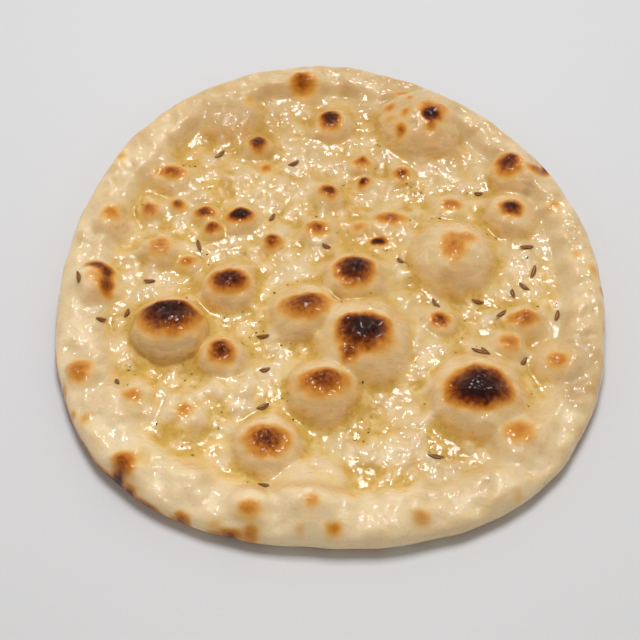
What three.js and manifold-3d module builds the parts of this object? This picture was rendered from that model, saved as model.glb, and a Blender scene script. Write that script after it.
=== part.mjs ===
// Naan bread: one soft oval flatbread with a puffed rim, oven blisters and cumin seeds on top.
// Millimetres, +Z up. It lies on its flat underside on Z = 0, centred on the Z axis.
import * as THREE from "three";
import { mergeVertices } from "three/addons/utils/BufferGeometryUtils.js";
import Module from "manifold-3d";

const SKIN_COLOUR = 0xdcc9a0;
const SKIN_ROUGHNESS = 0.35;

// Outline: a circle of MEAN_RADIUS with a few slow bulges, each `count` times round the bread.
const MEAN_RADIUS = 117;
const BULGES = [
  { count: 1, size: 4.3, lean: -102 },
  { count: 2, size: 3.2, lean: -156 },
  { count: 3, size: 2.6, lean: -71 },
  { count: 4, size: 1.6, lean: 156 },
  { count: 5, size: 0.9, lean: 86 },
];

// Section: a sheet of dough with a fat rolled rim, widest a little above the table.
const SHEET_THICKNESS = 6;
const CREST_HEIGHT = 12;
const WIDEST_HEIGHT = 5;
const FOOT_INSET = 8;
const RIM_BAND = 21;
const RIM_BAND_SWING = 4; // the band is this much wider at the front left and narrower opposite
const RIM_BAND_LEAN = -135;
const CREST_SHARE = 0.5; // the crest's inset as a share of the rim band
const BLISTER_FADE = 5; // blisters die out over this width at the outer edge
const BLISTER_FILLET = 1.2; // how softly a blister's foot runs into the dough

// Blisters: x and y of the top, width at the foot, height above the dough round it.
const BLISTERS = [
  // tall, round ones over the middle and the front
  { x: -65, y: -27, width: 32, height: 16 },
  { x: 58, y: -56, width: 36, height: 11 },
  { x: 13, y: -32, width: 36, height: 11 },
  { x: 52, y: 11, width: 35, height: 10 },
  { x: -3, y: -54, width: 28, height: 10 },
  { x: -24, y: -78, width: 26, height: 9 },
  { x: -10, y: -19, width: 27, height: 9 },
  { x: 10, y: 0, width: 25, height: 8 },
  { x: -42, y: -5, width: 22, height: 8 },
  { x: -43, y: -40, width: 20, height: 7 },
  { x: 72, y: -76, width: 24, height: 7 },
  { x: -8, y: -100, width: 31, height: 7 },
  // along the rim
  { x: 42, y: 88, width: 44, height: 9 },
  { x: 79, y: 55, width: 24, height: 9 },
  { x: 77, y: 32, width: 25, height: 8 },
  { x: 90, y: -42, width: 20, height: 6 },
  { x: -12, y: 98, width: 18, height: 5 },
  { x: -93, y: 27, width: 19, height: 5 },
  { x: -96, y: -5, width: 19, height: 6 },
  { x: -97, y: -49, width: 15, height: 5 },
  { x: -78, y: -86, width: 16, height: 5 },
  { x: -30, y: -103, width: 20, height: 5 },
  { x: 32, y: -106, width: 13, height: 3 },
  // low ones between them
  { x: 0, y: 83, width: 19, height: 6 },
  { x: -32, y: 69, width: 14, height: 5 },
  { x: -70, y: 53, width: 18, height: 5 },
  { x: -78, y: 34, width: 12, height: 4 },
  { x: -66, y: 38, width: 10, height: 3 },
  { x: -54, y: 32, width: 12, height: 4 },
  { x: -39, y: 30, width: 16, height: 5 },
  { x: -50, y: 24, width: 10, height: 3 },
  { x: -25, y: 18, width: 11, height: 4 },
  { x: -72, y: 14, width: 19, height: 5 },
  { x: -60, y: 8, width: 11, height: 3 },
  { x: -78, y: -59, width: 23, height: 5 },
  { x: -57, y: -64, width: 23, height: 4 },
  { x: 0, y: 43, width: 15, height: 5 },
  { x: 14, y: 61, width: 12, height: 3 },
  { x: 32, y: 54, width: 12, height: 4 },
  { x: 53, y: 36, width: 16, height: 4 },
  { x: 26, y: 29, width: 20, height: 4 },
  { x: -5, y: 24, width: 16, height: 5 },
  { x: 45, y: -23, width: 17, height: 5 },
  { x: 79, y: -22, width: 19, height: 5 },
  { x: 72, y: -33, width: 16, height: 5 },
  // broad swells that never browned
  { x: 41, y: -36, width: 36, height: 3 },
  { x: 26, y: -83, width: 38, height: 3 },
  { x: -40, y: -57, width: 31, height: 3 },
  { x: -53, y: -93, width: 23, height: 3 },
  { x: 62, y: -98, width: 22, height: 3 },
];

// Cumin seeds: where each lies, the way it points and its length.
const SEED_WIDTH = 2;
const SEED_THICKNESS = 1.8;
const SEED_RISE = 0.25; // how far the seed's middle stands clear of the crust
const SEEDS = [
  { x: -49, y: 66, heading: 47, length: 7 },
  { x: -16, y: 61, heading: 25, length: 6 },
  { x: -56, y: 16, heading: -76, length: 7 },
  { x: -25, y: 32, heading: 62, length: 5 },
  { x: -76, y: -2, heading: 0, length: 5 },
  { x: -103, y: -6, heading: 92, length: 6 },
  { x: -94, y: -22, heading: 14, length: 5 },
  { x: -84, y: -18, heading: 75, length: 5 },
  { x: -28, y: -29, heading: -9, length: 7 },
  { x: -84, y: -52, heading: -76, length: 4 },
  { x: -26, y: -45, heading: 3, length: 5 },
  { x: -27, y: -61, heading: 28, length: 6 },
  { x: -26, y: -97, heading: -20, length: 5 },
  { x: 65, y: 44, heading: -4, length: 4 },
  { x: 83, y: 15, heading: 12, length: 7 },
  { x: 85, y: 3, heading: 73, length: 7 },
  { x: 81, y: -4, heading: -46, length: 6 },
  { x: 43, y: -13, heading: -57, length: 5 },
  { x: 61, y: -12, heading: -10, length: 5 },
  { x: 70, y: -19, heading: 45, length: 7 },
  { x: 93, y: -19, heading: 72, length: 6 },
  { x: 29, y: 8, heading: -47, length: 4 },
  { x: -2, y: 16, heading: -12, length: 4 },
  { x: 60, y: -38, heading: -28, length: 7 },
  { x: 77, y: -41, heading: 53, length: 6 },
  { x: 40, y: -83, heading: -2, length: 7 },
];

// Mesh: rings of points run from the middle of the top, over the rim, to the middle underneath.
const RINGS = 26; // from a pole of the starting body to its widest ring
const WELL_RINGS = 22;
const CREST_RING = 28;
const EDGE_RING = 33;
const FOOT_RING = 37;

const degrees = THREE.MathUtils.degToRad;
const mix = THREE.MathUtils.lerp;

function edgeRadius(angle) {
  return BULGES.reduce(
    (radius, bulge) => radius + bulge.size * Math.cos(bulge.count * angle - degrees(bulge.lean)),
    MEAN_RADIUS,
  );
}

function rimBand(angle) {
  return RIM_BAND + RIM_BAND_SWING * Math.cos(angle - degrees(RIM_BAND_LEAN));
}

function crestHeight(angle) {
  return CREST_HEIGHT + 0.9 * Math.sin(3 * angle + 0.8) + 0.7 * Math.sin(5 * angle + 2.1)
    + 0.5 * Math.sin(8 * angle + 1.3);
}

// The sheet is never quite even: it rises and falls by about a millimetre.
function sheetHeight(x, y) {
  return SHEET_THICKNESS + 0.7 * Math.sin(x / 15 + 1) * Math.cos(y / 18)
    + 0.5 * Math.sin((x + y) / 22 + 2) + 0.4 * Math.sin((x - 2 * y) / 31);
}

// Height of the upper skin before any blister, `inset` in from the outline.
function skinHeight(x, y, angle, inset) {
  const band = rimBand(angle);
  const crestInset = CREST_SHARE * band;
  const crest = crestHeight(angle);
  if (inset < crestInset) {
    const across = 1 - Math.max(inset, 0) / crestInset;
    return WIDEST_HEIGHT + (crest - WIDEST_HEIGHT) * Math.sqrt(1 - across * across);
  }
  const down = Math.min((inset - crestInset) / (band - crestInset), 1);
  return mix(sheetHeight(x, y), crest, (1 + Math.cos(Math.PI * down)) / 2);
}

// Each blister is a spherical cap with a soft foot; where two meet, the higher one shows.
function blisterHeight(x, y) {
  let top = 0;
  for (const { x: midX, y: midY, width, height } of BLISTERS) {
    const reach = Math.hypot(x - midX, y - midY);
    const foot = width / 2;
    const ball = (foot * foot + height * height) / (2 * height);
    if (reach >= foot + 3 * BLISTER_FILLET) continue;
    const cap = Math.sqrt(Math.max(ball * ball - reach * reach, 0)) - (ball - height) - Math.max(reach - ball, 0);
    top = Math.max(top, (cap + Math.hypot(cap, BLISTER_FILLET)) / 2);
  }
  return top;
}

// Moves a point outwards inside each blister, so that its steep foot gets points of its own.
function spread(x, y) {
  for (const { x: midX, y: midY, width, height } of BLISTERS) {
    const reach = Math.hypot(x - midX, y - midY);
    const foot = width / 2;
    if (reach >= foot || reach === 0) continue;
    const turn = 2 * Math.atan(height / foot);
    const moved = (foot * Math.sin((turn * reach) / foot)) / Math.sin(turn);
    x = midX + ((x - midX) * moved) / reach;
    y = midY + ((y - midY) * moved) / reach;
  }
  return [x, y];
}

function topPoint(x, y) {
  const angle = Math.atan2(y, x);
  const inset = edgeRadius(angle) - Math.hypot(x, y);
  const fade = THREE.MathUtils.smoothstep(inset, 0, BLISTER_FADE);
  return new THREE.Vector3(x, y, skinHeight(x, y, angle, inset) + fade * blisterHeight(x, y));
}

// The point of the bread that ring number `ring` has at `angle`.
function breadPoint(ring, angle) {
  const radius = edgeRadius(angle);
  const band = rimBand(angle);
  const crestInset = CREST_SHARE * band;
  let inset = 0;
  let height = null;
  if (ring <= WELL_RINGS) {
    inset = radius - ((radius - band) * ring) / WELL_RINGS;
  } else if (ring <= CREST_RING) {
    inset = mix(band, crestInset, (ring - WELL_RINGS) / (CREST_RING - WELL_RINGS));
  } else if (ring <= EDGE_RING) {
    const over = (ring - CREST_RING) / (EDGE_RING - CREST_RING);
    inset = crestInset * (1 - Math.sin((over * Math.PI) / 2));
  } else if (ring < FOOT_RING) {
    const under = (ring - EDGE_RING) / (FOOT_RING - EDGE_RING);
    inset = FOOT_INSET * (1 - Math.cos((under * Math.PI) / 2));
    height = WIDEST_HEIGHT * (1 - Math.sin((under * Math.PI) / 2));
  } else {
    const left = (2 * RINGS - ring) / (2 * RINGS - FOOT_RING);
    inset = radius - (radius - FOOT_INSET) * left;
    height = 0;
  }
  const x = (radius - inset) * Math.cos(angle);
  const y = (radius - inset) * Math.sin(angle);
  if (height !== null) return new THREE.Vector3(x, y, height);
  return ring < CREST_RING ? topPoint(...spread(x, y)) : topPoint(x, y);
}

// Only position is kept, so that merging joins every shared corner.
function welded(geometry) {
  geometry.deleteAttribute("normal");
  geometry.deleteAttribute("uv");
  return mergeVertices(geometry, 1e-4);
}

// Two hexagonal pyramids base to base, split finely, are bent ring by ring into the bread.
function breadGeometry() {
  const corners = [0, 0, 1];
  const faces = [];
  for (let side = 0; side < 6; side++) {
    corners.push(Math.cos(degrees(60 * side)), Math.sin(degrees(60 * side)), 0);
    const here = 1 + side;
    const next = 1 + ((side + 1) % 6);
    faces.push(0, here, next, 7, next, here);
  }
  corners.push(0, 0, -1);
  const geometry = welded(new THREE.PolyhedronGeometry(corners, faces, 1, RINGS - 1));
  const position = geometry.getAttribute("position");
  const point = new THREE.Vector3();
  for (let i = 0; i < position.count; i++) {
    point.fromBufferAttribute(position, i);
    const turn = (Math.atan2(point.y, point.x) + 2 * Math.PI) % (2 * Math.PI);
    const side = Math.floor(turn / degrees(60) + 1e-6);
    const into = turn - degrees(60) * side;
    const flat = Math.hypot(point.x, point.y) * Math.cos(into - degrees(30)) / Math.cos(degrees(30));
    const share = flat / (flat + Math.abs(point.z));
    const along = (1 + Math.tan(into - degrees(30)) / Math.tan(degrees(30))) / 2;
    const ring = Math.round(share * RINGS);
    const place = breadPoint(point.z < -1e-9 ? 2 * RINGS - ring : ring, degrees(60) * (side + along));
    position.setXYZ(i, place.x, place.y, place.z);
  }
  return geometry;
}

// A spindle half sunk in the crust, lying along the slope under it.
function seedGeometry(seed, bread) {
  const ray = new THREE.Raycaster(new THREE.Vector3(seed.x, seed.y, 100), new THREE.Vector3(0, 0, -1));
  const hit = ray.intersectObject(bread)[0];
  const up = hit.face.normal;
  const heading = new THREE.Vector3(Math.cos(degrees(seed.heading)), Math.sin(degrees(seed.heading)), 0);
  const side = new THREE.Vector3().crossVectors(up, heading).normalize();
  const along = new THREE.Vector3().crossVectors(side, up);
  const geometry = new THREE.SphereGeometry(1, 6, 4).rotateZ(Math.PI / 2);
  geometry.scale(seed.length / 2, SEED_WIDTH / 2, SEED_THICKNESS / 2);
  geometry.applyMatrix4(new THREE.Matrix4().makeBasis(along, side, up));
  geometry.translate(hit.point.x, hit.point.y, hit.point.z);
  geometry.translate(up.x * SEED_RISE, up.y * SEED_RISE, up.z * SEED_RISE);
  return welded(geometry);
}

const wasm = await Module();
wasm.setup();

function solid(geometry) {
  return new wasm.Manifold(new wasm.Mesh({
    numProp: 3,
    vertProperties: geometry.getAttribute("position").array,
    triVerts: new Uint32Array(geometry.index.array),
  }));
}

const plain = new THREE.Mesh(breadGeometry());
const joined = SEEDS.reduce((body, seed) => body.add(solid(seedGeometry(seed, plain))), solid(plain.geometry));
const { vertProperties, triVerts } = joined.getMesh();
const geometry = new THREE.BufferGeometry();
geometry.setAttribute("position", new THREE.BufferAttribute(vertProperties, 3));
geometry.setIndex(new THREE.BufferAttribute(triVerts, 1));
geometry.computeBoundingBox();
const centre = geometry.boundingBox.getCenter(new THREE.Vector3());
geometry.translate(-centre.x, -centre.y, -geometry.boundingBox.min.z);
geometry.computeVertexNormals();

const naan = new THREE.Mesh(
  geometry,
  new THREE.MeshStandardMaterial({ color: SKIN_COLOUR, roughness: SKIN_ROUGHNESS, metalness: 0 }),
);
naan.name = "naan";

const group = new THREE.Group();
group.add(naan);

export default group;
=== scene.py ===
import math

import bmesh
import bpy
import numpy as np
from mathutils import Matrix, Vector


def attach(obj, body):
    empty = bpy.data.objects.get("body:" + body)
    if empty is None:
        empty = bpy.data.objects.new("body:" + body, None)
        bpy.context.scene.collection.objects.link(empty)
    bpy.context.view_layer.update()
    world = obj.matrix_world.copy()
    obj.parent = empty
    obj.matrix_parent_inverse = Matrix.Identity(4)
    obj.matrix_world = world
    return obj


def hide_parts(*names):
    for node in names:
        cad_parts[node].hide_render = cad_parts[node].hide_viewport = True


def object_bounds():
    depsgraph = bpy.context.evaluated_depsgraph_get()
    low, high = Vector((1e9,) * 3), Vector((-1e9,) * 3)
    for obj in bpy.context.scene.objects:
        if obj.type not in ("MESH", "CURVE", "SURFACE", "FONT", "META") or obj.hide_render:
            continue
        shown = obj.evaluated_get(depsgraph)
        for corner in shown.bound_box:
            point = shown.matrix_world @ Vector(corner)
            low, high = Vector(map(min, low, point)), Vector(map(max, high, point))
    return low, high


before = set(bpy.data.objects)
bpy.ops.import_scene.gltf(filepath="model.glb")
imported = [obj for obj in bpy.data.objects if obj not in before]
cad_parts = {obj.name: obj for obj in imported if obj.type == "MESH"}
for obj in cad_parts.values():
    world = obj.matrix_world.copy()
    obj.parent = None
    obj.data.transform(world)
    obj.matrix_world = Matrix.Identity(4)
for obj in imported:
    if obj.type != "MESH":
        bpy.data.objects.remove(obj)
cadLow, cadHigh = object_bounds()
mm = 0.001

# height and colour maps lie over the bread, half a millimetre apart; lengths are in mm
mapStep = 0.5
mapX = np.arange(-124, 124 + mapStep / 2, mapStep)
mapY = np.arange(-128, 128 + mapStep / 2, mapStep)
gridX, gridY = np.meshgrid(mapX, mapY)


def roughMap(seed, sizes):
    # seeded bumps between a longest and a shortest wave length, of size 1
    longest, shortest = sizes
    noise = np.random.default_rng(seed).standard_normal(gridX.shape)
    waveY = np.fft.fftfreq(gridX.shape[0], mapStep)[:, None]
    waveX = np.fft.rfftfreq(gridX.shape[1], mapStep)[None, :]
    wave = np.hypot(waveX, waveY)
    keep = np.exp(-((wave * shortest) ** 2)) - np.exp(-((wave * longest) ** 2))
    bumps = np.fft.irfft2(np.fft.rfft2(noise) * keep, s=gridX.shape)
    return bumps / bumps.std()


def blur(values, size):
    waveY = np.fft.fftfreq(values.shape[0], mapStep)[:, None]
    waveX = np.fft.rfftfreq(values.shape[1], mapStep)[None, :]
    keep = np.exp(-2 * (math.pi * size) ** 2 * (waveX ** 2 + waveY ** 2))
    return np.fft.irfft2(np.fft.rfft2(values) * keep, s=values.shape)


def sample(values, x, y):
    # bilinear look-up
    across = np.clip((x - mapX[0]) / mapStep, 0, len(mapX) - 1.001)
    along = np.clip((y - mapY[0]) / mapStep, 0, len(mapY) - 1.001)
    column, row = np.asarray(across).astype(int), np.asarray(along).astype(int)
    right, up = across - column, along - row
    low = values[row, column] * (1 - right) + values[row, column + 1] * right
    high = values[row + 1, column] * (1 - right) + values[row + 1, column + 1] * right
    return low * (1 - up) + high * up


def smoothStep(values, low, high):
    share = np.clip((values - low) / (high - low), 0, 1)
    return share * share * (3 - 2 * share)


# the plain loaf; bulges are times round, size and lean, and waves are times round, size and start;
# the sheet's waves are size, lengths across and along, and start
loaf = {
    "radius": 117,
    "bulges": [(1, 4.3, -102), (2, 3.2, -156), (3, 2.6, -71), (4, 1.6, 156), (5, 0.9, 86)],
    "edgeWaves": [(13, 0.16, 1), (19, 0.16, 4), (31, 0.128, 0), (47, 0.08, 0)],
    "crestWaves": [(3, 0.9, 0.8), (5, 0.7, 2.1), (8, 0.5, 1.3)],
    "sheet": 6,
    "sheetWaves": [(0.35, 15, 18, 1), (0.35, 15, -18, 1), (0.5, 22, 22, 2), (0.4, 31, -15.5, 0)],
    "crest": 12, "widest": 5, "shoulder": 4.6, "plump": 1.4, "footInset": 8,
    "band": 21, "bandSwing": 4, "bandLean": -135,
    "blisterFade": 5, "wellFade": (7, 26),
}


def edgeRadius(angle):
    radius = np.full(np.shape(angle), float(loaf["radius"]))
    for count, size, lean in loaf["bulges"]:
        radius = radius + size * np.cos(count * angle - math.radians(lean))
    for count, size, start in loaf["edgeWaves"]:
        radius = radius + size * np.sin(count * angle + start)
    return radius


def rimBand(angle):
    return loaf["band"] + loaf["bandSwing"] * np.cos(angle - math.radians(loaf["bandLean"]))


def crestHeight(angle):
    height = loaf["crest"]
    for count, size, start in loaf["crestWaves"]:
        height = height + size * np.sin(count * angle + start)
    return height


def sheetHeight(x, y):
    # the sheet inside the rim
    height = loaf["sheet"]
    for size, across, along, start in loaf["sheetWaves"]:
        height = height + size * np.sin(x / across + y / along + start)
    return height


def skinHeight(x, y, angle, inset):
    band = rimBand(angle)
    crestInset = band / 2
    crest = crestHeight(angle)
    across = 1 - np.clip(inset / crestInset, 0, 1)
    outer = loaf["widest"] + (crest - loaf["widest"]) * np.sqrt(1 - across ** loaf["shoulder"])
    down = np.clip((inset - crestInset) / (band - crestInset), 0, 1)
    share = (1 + np.cos(math.pi * down ** loaf["plump"])) / 2
    inner = sheetHeight(x, y) * (1 - share) + crest * share
    return np.where(inset < crestInset, outer, inner)


mapAngle = np.arctan2(gridY, gridX)
mapInset = edgeRadius(mapAngle) - np.hypot(gridX, gridY)
mapSkin = skinHeight(gridX, gridY, mapAngle, mapInset)
edgeFade = smoothStep(mapInset, 0, loaf["blisterFade"])
wellShare = smoothStep(mapInset, *loaf["wellFade"])
print("maps laid out:", gridX.shape)

# blisters: place of the top, width at the foot and height; char is the burnt patch's half width
# and half depth, dark how far it burned and lean how far its darkest part lies to the back; bell
# goes from 0, a ball's cap, to 1, a soft mound; with level 1 it rises from the sheet, not the rim
blisters = [
    dict(x=-65, y=-27, width=32.5, height=15.4, bell=0.2, char=(13.4, 8.6), dark=1.06, lean=0.62),
    dict(x=57.3, y=-57, width=40, height=12, bell=0.6, char=(13.8, 9.7), dark=1.15, lean=-0.2),
    dict(x=13, y=-32.5, width=41, height=12, bell=0.6, char=(11.6, 9.2), dark=1.14, lean=0.38),
    dict(x=51.5, y=9.5, width=38, height=11.5, bell=0.5, char=(6.2, 8.4), dark=0.36, lean=0),
    dict(x=-3, y=-54.5, width=31, height=10.5, bell=0.55, char=(11, 6.8), dark=0.62, lean=0.4),
    dict(x=-24.5, y=-79, width=30, height=9.5, bell=0.55, char=(9.5, 7), dark=0.66),
    dict(x=-10.5, y=-19, width=30, height=9.5, bell=0.6, char=(11, 7), dark=0.66, lean=0.45),
    dict(x=10, y=-1.5, width=28, height=9, bell=0.55, char=(9, 8), dark=0.95, lean=0.3),
    dict(x=-42, y=-5, width=25, height=8.5, bell=0.55, char=(8.6, 6.2), dark=0.92),
    dict(x=-43.5, y=-39.5, width=22.5, height=7.5, bell=0.6, char=(5.8, 5.8), dark=0.74),
    dict(x=72, y=-75.5, width=24, height=7, char=(6.6, 5.8), dark=0.33),
    dict(x=-8, y=-97.5, width=33, height=6.8, bell=0.7),
    dict(x=41.5, y=82.5, width=41, height=12.5, bell=0.15, level=0.95),
    dict(x=-46, y=89, width=33, height=7.5, bell=0.3, level=0.9),
    dict(x=-80, y=61, width=24, height=7, bell=0.3, level=0.9),
    dict(x=-20, y=98, width=22, height=2.4),
    dict(x=81.5, y=53, width=26, height=9.5, bell=0.35, level=0.7),
    dict(x=77.5, y=32, width=25, height=7.4, bell=0.4, char=(5.4, 4.8), dark=0.92),
    dict(x=90, y=-42.5, width=20, height=6, char=(4.2, 4), dark=0.36),
    dict(x=-12, y=103, width=18, height=5, char=(6, 5), dark=0.52),
    dict(x=-93.5, y=27.5, width=19, height=5, char=(4, 4.5), dark=0.34),
    dict(x=-96.5, y=-5, width=21, height=5.2, bell=0.4, char=(5, 4.4), dark=0.2),
    dict(x=-99, y=-49, width=16, height=4, bell=0.4, char=(5, 5.8), dark=0.42),
    dict(x=-78, y=-89.5, width=19, height=3.5, bell=0.4, char=(5, 4.8), dark=0.6),
    dict(x=-30.5, y=-104.5, width=20, height=5),
    dict(x=32, y=-108.5, width=13, height=3),
    dict(x=0.5, y=83, width=19, height=6, char=(5, 5.6), dark=0.95),
    dict(x=-32, y=69.5, width=14, height=5, char=(4.2, 4.8), dark=0.95),
    dict(x=-69.5, y=53, width=18, height=5, char=(6.6, 3.4), dark=0.58),
    dict(x=-78, y=33.5, width=12, height=4, char=(3.6, 4.2), dark=0.55),
    dict(x=-66, y=37.5, width=9, height=3, char=(2.8, 3), dark=0.82),
    dict(x=-54, y=32, width=12, height=3.5, char=(4.4, 3.2), dark=0.72),
    dict(x=-38.5, y=30, width=16, height=5, char=(6, 3.8), dark=1.25),
    dict(x=-50, y=24, width=10, height=3, char=(3.8, 2.6), dark=0.7),
    dict(x=-24.5, y=17.5, width=11, height=3.5, char=(4, 3.6), dark=0.68),
    dict(x=-72, y=13.5, width=19, height=5, char=(5, 5), dark=0.37),
    dict(x=-60, y=7.5, width=11, height=3, char=(4.2, 2.2), dark=0.42),
    dict(x=-77.5, y=-58.5, width=23, height=5, char=(4.2, 3), dark=0.33),
    dict(x=-57, y=-64.5, width=23, height=4, char=(3.2, 3.4), dark=0.36),
    dict(x=-0.5, y=43, width=15, height=5, char=(4.4, 3.6), dark=0.78),
    dict(x=14, y=61, width=12, height=3, char=(4.4, 2.6), dark=0.58),
    dict(x=15, y=50.5, width=8, height=2.5, char=(2.7, 2.6), dark=1.1),
    dict(x=31.5, y=54, width=12, height=3.5, char=(4, 3), dark=0.62),
    dict(x=52.5, y=36.5, width=16, height=4, char=(4.6, 3), dark=0.5),
    dict(x=26, y=29.5, width=20, height=4, char=(7, 3), dark=0.52),
    dict(x=13, y=26, width=10, height=2, char=(4, 2.6), dark=0.29),
    dict(x=-5.5, y=24, width=16, height=4.5, char=(5.8, 3.8), dark=0.5),
    dict(x=20.5, y=18.5, width=5, height=1.6, char=(3.8, 1.9), dark=1.6),
    dict(x=45, y=-23, width=17, height=5, char=(4.4, 4), dark=0.66),
    dict(x=78.5, y=-22, width=19, height=5, char=(7, 3.8), dark=0.45),
    dict(x=72, y=-33, width=16, height=4.5, char=(4.2, 4.8), dark=0.42),
    dict(x=41, y=-36, width=36, height=3),
    dict(x=26, y=-82.5, width=38, height=3),
    dict(x=-39.5, y=-56.5, width=31, height=3),
    dict(x=-53.5, y=-93, width=23, height=3),
    dict(x=62, y=-98, width=22, height=3),
]
blisterShape = {
    "bell": 0.52, "bellSpread": 1.35, "footSoft": 0.06, "bellSoft": 0.36, "skirt": 1.6,
    "levelSoft": 1.6, "levelSkirt": (0.9, 1.5), "warp": 0.3, "warpSize": (40, 14),
}

# flat scorch marks: place, half width, half depth and darkness
marks = [
    (-37, 95, 2.1, 2.4, 0.22), (-28, 58, 2.5, 3, 0.52), (27.2, 87.9, 2.6, 2.8, 0.42),
    (33.3, 81.5, 2.5, 2.1, 0.42), (31.5, 73.8, 2.3, 3.2, 0.54), (33, 97.5, 3.4, 1.6, 0.5),
    (27.2, 80.3, 2, 2.2, 0.32), (36.7, 90.4, 3, 1.8, 0.4), (44.8, 74, 2.4, 2.2, 0.52),
    (51, 79, 1.4, 1.4, 0.22), (91, 52, 5.5, 2.6, 0.6), (7.4, -41, 4.2, 4.6, 0.7),
    (95.5, 55, 2.2, 2.4, 1.4), (96, 33, 3.2, 2.6, 0.22), (102, 7, 2.4, 2.4, 0.22),
    (109, -1, 2.2, 3.2, 0.22), (112, -10, 1.4, 1.8, 1.0), (70, -101, 2.4, 2.4, 0.16),
    (95, -83, 2.4, 3, 0.3), (8, -101, 2, 2, 0.2), (-30, -116, 3.4, 3.4, 0.34),
    (-95, -69, 2.4, 2.4, 0.22), (-56, -110, 3, 3, 0.66), (-106.6, -60, 2.5, 7.5, 0.8),
    (-100.8, -66.5, 1.2, 1.4, 0.6), (-82.3, -94.6, 4.2, 3.2, 1.5), (-77, -98.5, 3.6, 2.4, 1.05),
    (-38, -115.2, 5, 1.8, 0.9), (112, -28, 1.6, 3, 0.6), (-103, 47, 2.4, 2.6, 0.3),
    (-92, 60, 2, 2.4, 0.25), (44.9, 79.2, 5.2, 4, 1.1), (46, 82.6, 6.6, 5.6, 0.42),
    (54.5, 14.5, 8.4, 3.4, 0.36), (77.8, 54.6, 5.6, 7, 0.78), (-97.5, 2.5, 4.8, 2.4, 0.92),
    (-93, -0.5, 2.8, 4.8, 0.82), (-92.4, -7, 2.6, 4.8, 0.78), (13.6, -36.4, 12.4, 6, 0.44),
    (-7.3, -106.6, 3, 3.2, 0.27), (-30.3, -108.6, 5, 3.4, 0.3), (32.8, -111, 3.2, 3.2, 0.24),
    (0.5, -115, 3.5, 2.6, 0.36), (-11.8, -115, 1.6, 1.6, 0.2), (-43.3, -112, 3, 2, 0.2),
]
charEdge = {
    "warp": 0.3, "warpSize": (14, 5), "mottle": 0.06, "mottleSize": (5, 2), "fall": 1.6, "soft": 0.85,
    "reach": 1.12, "lean": 0.2, "halo": 0.13, "haloWidth": 2.8, "haloLeast": 0.4, "haloEnd": 0.3,
    "haloFrom": 0.8,
}


def blisterMap():
    warpX = gridX + blisterShape["warp"] * roughMap(11, blisterShape["warpSize"])
    warpY = gridY + blisterShape["warp"] * roughMap(12, blisterShape["warpSize"])
    puff = np.zeros(gridX.shape)
    for blister in blisters:
        foot, height = blister["width"] / 2, blister["height"]
        bell = blister.get("bell", blisterShape["bell"])
        soft = height * (blisterShape["footSoft"] + blisterShape["bellSoft"] * bell)
        reach = np.hypot(warpX - blister["x"], warpY - blister["y"])
        ball = (foot * foot + height * height) / (2 * height)
        cap = np.sqrt(np.maximum(ball * ball - reach * reach, 0)) - (ball - height)
        cap = cap - np.maximum(reach - ball, 0)
        cap = (cap + np.hypot(cap, soft)) / 2
        cap = cap * (1 - smoothStep(reach, foot, foot * blisterShape["skirt"]))
        mound = height * np.clip(1 - (reach / (foot * blisterShape["bellSpread"])) ** 2, 0, None) ** 2
        own = cap * (1 - bell) + mound * bell
        if "level" in blister:
            own = own - blister["level"] * (mapSkin - sheetHeight(gridX, gridY))
            own = (own + np.hypot(own, blisterShape["levelSoft"])) / 2
            fadeFrom, fadeTo = blisterShape["levelSkirt"]
            own = own * (1 - smoothStep(reach, foot * fadeFrom, foot * fadeTo))
        puff = np.maximum(puff, own)
    return puff


def footOilShadeMap():
    # the ring round each tall blister's foot where oil gathers; its deeper tint there is partly painted
    # contact shade
    ring = np.zeros(gridX.shape)
    for blister in blisters:
        foot = blister["width"] / 2
        reach = np.hypot(gridX - blister["x"], gridY - blister["y"])
        strength = smoothStep(blister["height"], *oil["footHeights"])
        away = (reach - oil["footReach"] * foot) / oil["footWidth"]
        ring = np.maximum(ring, strength * np.exp(-away ** 2))
    return ring


def charMap():
    warpX = gridX + charEdge["warp"] * roughMap(13, charEdge["warpSize"])
    warpY = gridY + charEdge["warp"] * roughMap(14, charEdge["warpSize"])
    burn = np.zeros(gridX.shape)
    halo = np.zeros(gridX.shape)
    spots = [(b["x"], b["y"], *b["char"], b["dark"], b.get("lean", charEdge["lean"]))
             for b in blisters if "char" in b]
    for x, y, wide, deep, dark, lean in spots + [(*mark, charEdge["lean"]) for mark in marks]:
        back = (warpY - y) / deep - lean
        back = np.where(back > 0, back / (1 - lean), back / (1 + lean))
        away = np.hypot((warpX - x) / wide, back) / charEdge["reach"]
        burn = np.maximum(burn, dark * np.clip(1 - away ** charEdge["fall"], 0, None))
        glow = 1 + charEdge["haloWidth"] / math.sqrt(wide * deep)
        tint = min(1, charEdge["haloLeast"] + dark)
        halo = np.maximum(halo, tint * (1 - smoothStep(away, charEdge["haloFrom"], glow)))
    burn = blur(burn, charEdge["soft"])
    burn = burn * (1 + charEdge["mottle"] * roughMap(15, charEdge["mottleSize"]))
    halo = halo * np.clip(1 - burn / charEdge["haloEnd"], 0, 1)
    return np.maximum(burn, 0) + charEdge["halo"] * halo


mapPuff = blisterMap() * edgeFade
mapBurn = charMap()
print("blisters:", len(blisters), "flat marks:", len(marks))

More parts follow.
